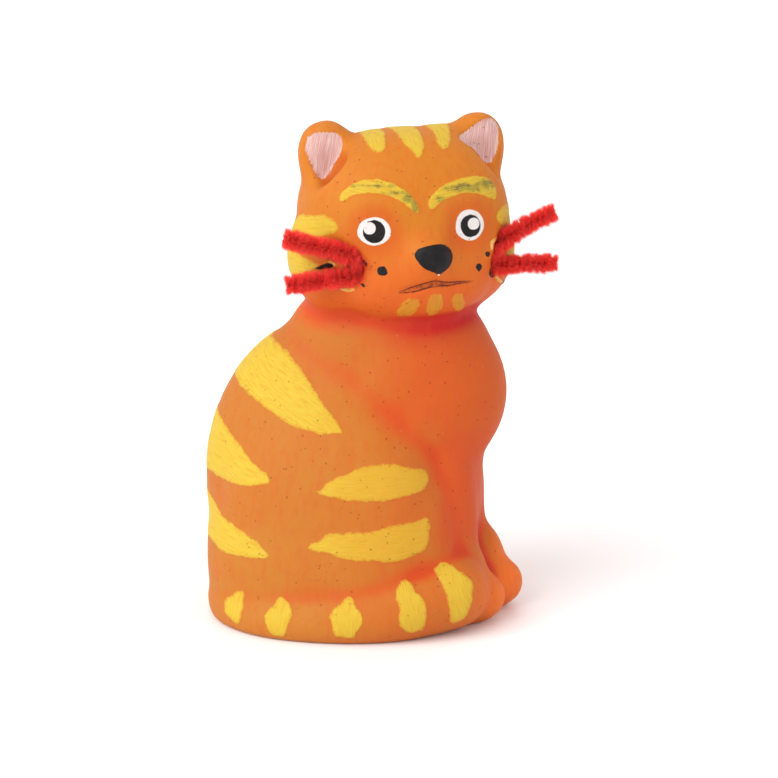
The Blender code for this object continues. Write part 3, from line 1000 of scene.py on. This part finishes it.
def pile_on(route, upright):
    """A rough core along the route, and fine blades in a double helix round it."""
    places, faces, depth, tone = [], [], [], []
    runs = np.linalg.norm(np.diff(route, axis=0), axis=1)
    marks = np.concatenate([[0], np.cumsum(runs)])
    length = marks[-1]

    def along_route(distance):
        """The centre line's places, its ways, and the side where the other arm lies."""
        distance = np.atleast_1d(distance)
        place = np.stack([np.interp(distance, marks, route[:, axis]) for axis in range(3)], 1)
        leg = np.clip(np.searchsorted(marks, distance, side="right") - 1, 0, len(runs) - 1)
        way = (np.diff(route, axis=0) / runs[:, None])[leg]
        return place, way, np.cross(way, upright)

    # The core's rings wind with the pile.
    rings, around = int(length / (0.5 * MM)), 12
    centres, ways, sides = along_route(np.linspace(0, length, rings + 1))
    for ring in range(rings + 1):
        twist = 2 * math.pi * length * ring / rings / PILE_PITCH
        for step in range(around):
            angle = 2 * math.pi * step / around
            radius = PILE_CORE * (1 + 0.3 * math.cos(2 * (angle - twist)))
            if ring in (0, rings):
                radius *= 0.4
            outward = sides[ring] * math.cos(angle) + upright * math.sin(angle)
            places.append(centres[ring] + outward * radius)
            depth.append(0.3)
            tone.append(0.3)
    for ring in range(rings):
        for step in range(around):
            a = ring * around + step
            b = ring * around + (step + 1) % around
            faces.append((a, b, b + around, a + around))
    faces.append(tuple(reversed(range(around))))
    faces.append(tuple(rings * around + step for step in range(around)))

    count = int(length * PILE_PER_METRE)
    along = chance.uniform(0, length, count)
    half = chance.integers(0, 2, count)
    spread = chance.normal(0, 0.8, count)
    angle = 2 * math.pi * along / PILE_PITCH + math.pi * half + spread
    tufts = chance.normal(0, 1, (2, int(length / PILE_TUFT) + 1, 2))
    tuft = (along / PILE_TUFT).astype(int)
    reach = PILE_RADIUS * (1.03 - 0.12 * np.abs(spread) ** 1.5 + chance.normal(0, 0.1, count))
    reach *= 1 + 0.08 * tufts[half, tuft, 0]
    reach = np.clip(reach, PILE_RADIUS * 0.55, PILE_RADIUS * 1.3)
    lean = (chance.normal(0, 0.16, count) + 0.12 * tufts[half, tuft, 1]) * reach
    to_tip = np.minimum(along, length - along)
    lean += np.where(to_tip < 1.5 * MM, 0.35 * MM, 0) * np.sign(along - length / 2)
    turn = chance.uniform(0, math.pi, count)
    width = chance.uniform(0.05, 0.085, count) * MM
    shades = chance.uniform(0, 1, count)
    place, way, side = along_route(along)
    out = np.cos(angle)[:, None] * side + np.sin(angle)[:, None] * upright
    round_it = -np.sin(angle)[:, None] * side + np.cos(angle)[:, None] * upright
    # Near the fold the two arms' pile is pressed together, and stands out over the skin.
    from_fold = np.maximum(np.abs(along - length / 2) - 5 * MM, 0)
    between = along_route(length)[0][0] - along_route(0)[0][0]
    inner = np.sign(along_route(0)[2][0] @ between)
    fluffed = 0.05 + 0.2 * np.clip(inner * np.cos(angle), 0, 1) + ROOT_LIFT * np.clip(np.sin(angle), 0, 1)
    reach *= 1 + np.exp(-((from_fold / FOLD_REACH) ** 2)) * fluffed
    behind = np.exp(-(((along - length / 2) / FOLD_REACH) ** 2)) * np.clip(-inner * np.cos(angle), 0, 1)
    reach *= 1 - FOLD_TRIM * behind
    flat = np.cos(turn)[:, None] * way + np.sin(turn)[:, None] * round_it
    base = place + out * PILE_FOOT
    point = place + lean[:, None] * way + out * reach[:, None]
    foot = PILE_FOOT / PILE_RADIUS
    start = len(places)
    corners = np.stack([base - flat * width[:, None], base + flat * width[:, None], point], 1).reshape(-1, 3)
    places.extend(corners.tolist())
    faces.extend((start + 3 * k, start + 3 * k + 1, start + 3 * k + 2) for k in range(count))
    depth.extend(np.stack([np.full(count, foot), np.full(count, foot), reach / PILE_RADIUS], 1).ravel())
    tone.extend(np.repeat(shades, 3))
    mesh = bpy.data.meshes.new("pile")
    mesh.from_pydata([tuple(place) for place in places], [], faces)
    for name, values in (("depth", depth), ("tone", tone)):
        attribute = mesh.attributes.new(name, "FLOAT", "POINT")
        attribute.data.foreach_set("value", np.asarray(values, np.float32))
    return mesh


# The set


def add_floor():
    shape = bmesh.new()
    bmesh.ops.create_grid(shape, x_segments=1, y_segments=1, size=30)
    mesh = bpy.data.meshes.new("floor")
    shape.to_mesh(mesh)
    shape.free()
    shade = Shader("floor")
    shade.surface.inputs["Base Color"].default_value = (0.93, 0.92, 0.92, 1)
    shade.surface.inputs["Roughness"].default_value = 0.6
    mesh.materials.append(shade.material)
    link("floor", mesh)


def add_sun(name, towards, size, power, colour):
    """A broad distant lamp in this direction, for even light on figure and floor."""
    data = bpy.data.lights.new(name, "SUN")
    data.angle = math.radians(size)
    data.energy = power
    data.color = colour
    lamp = bpy.data.objects.new(name, data)
    lamp.rotation_mode = "QUATERNION"
    lamp.rotation_quaternion = towards.to_track_quat("Z", "Y")
    bpy.context.scene.collection.objects.link(lamp)


def add_set():
    add_floor()
    world = bpy.data.worlds.new("studio")
    world.use_nodes = True
    world.node_tree.nodes["Background"].inputs["Color"].default_value = (1, 0.955, 0.95, 1)
    world.node_tree.nodes["Background"].inputs["Strength"].default_value = 1.0
    bpy.context.scene.world = world
    level_back = Vector((BACK.x, BACK.y, 0)).normalized()
    add_sun("fill", RIGHT * 0.8 + level_back * 0.6 + Vector((0, 0, 0.05)), 60, 0.35, (1, 0.93, 0.92))
    add_sun("key", -RIGHT * 0.75 + level_back * 0.62 + Vector((0, 0, 0.7)), 50, 2.3, (0.96, 1, 1))
    bpy.context.scene.view_settings.view_transform = "Standard"


def main():
    add_camera()
    mesh = fine_skin()
    mesh.name = "cat"
    relief(mesh, painted(mesh))
    mesh.materials.clear()
    mesh.materials.append(painted_foam())
    mesh.shade_smooth()
    cat = link("cat", mesh)
    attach(cat, "root")
    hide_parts("cat_figure")
    print("cat", len(mesh.vertices), sum(len(face.vertices) - 2 for face in mesh.polygons))
    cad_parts["cat_figure"].hide_render = True

    fabric = chenille_material()
    for name in ("whisker_right", "whisker_left"):
        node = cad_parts[name]
        pile = pile_on(*route_of(node))
        pile.materials.append(fabric)
        stem = link(name.replace("whisker", "chenille"), pile)
        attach(stem, "root")
        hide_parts(name)
        node.hide_render = True
    add_set()


main()
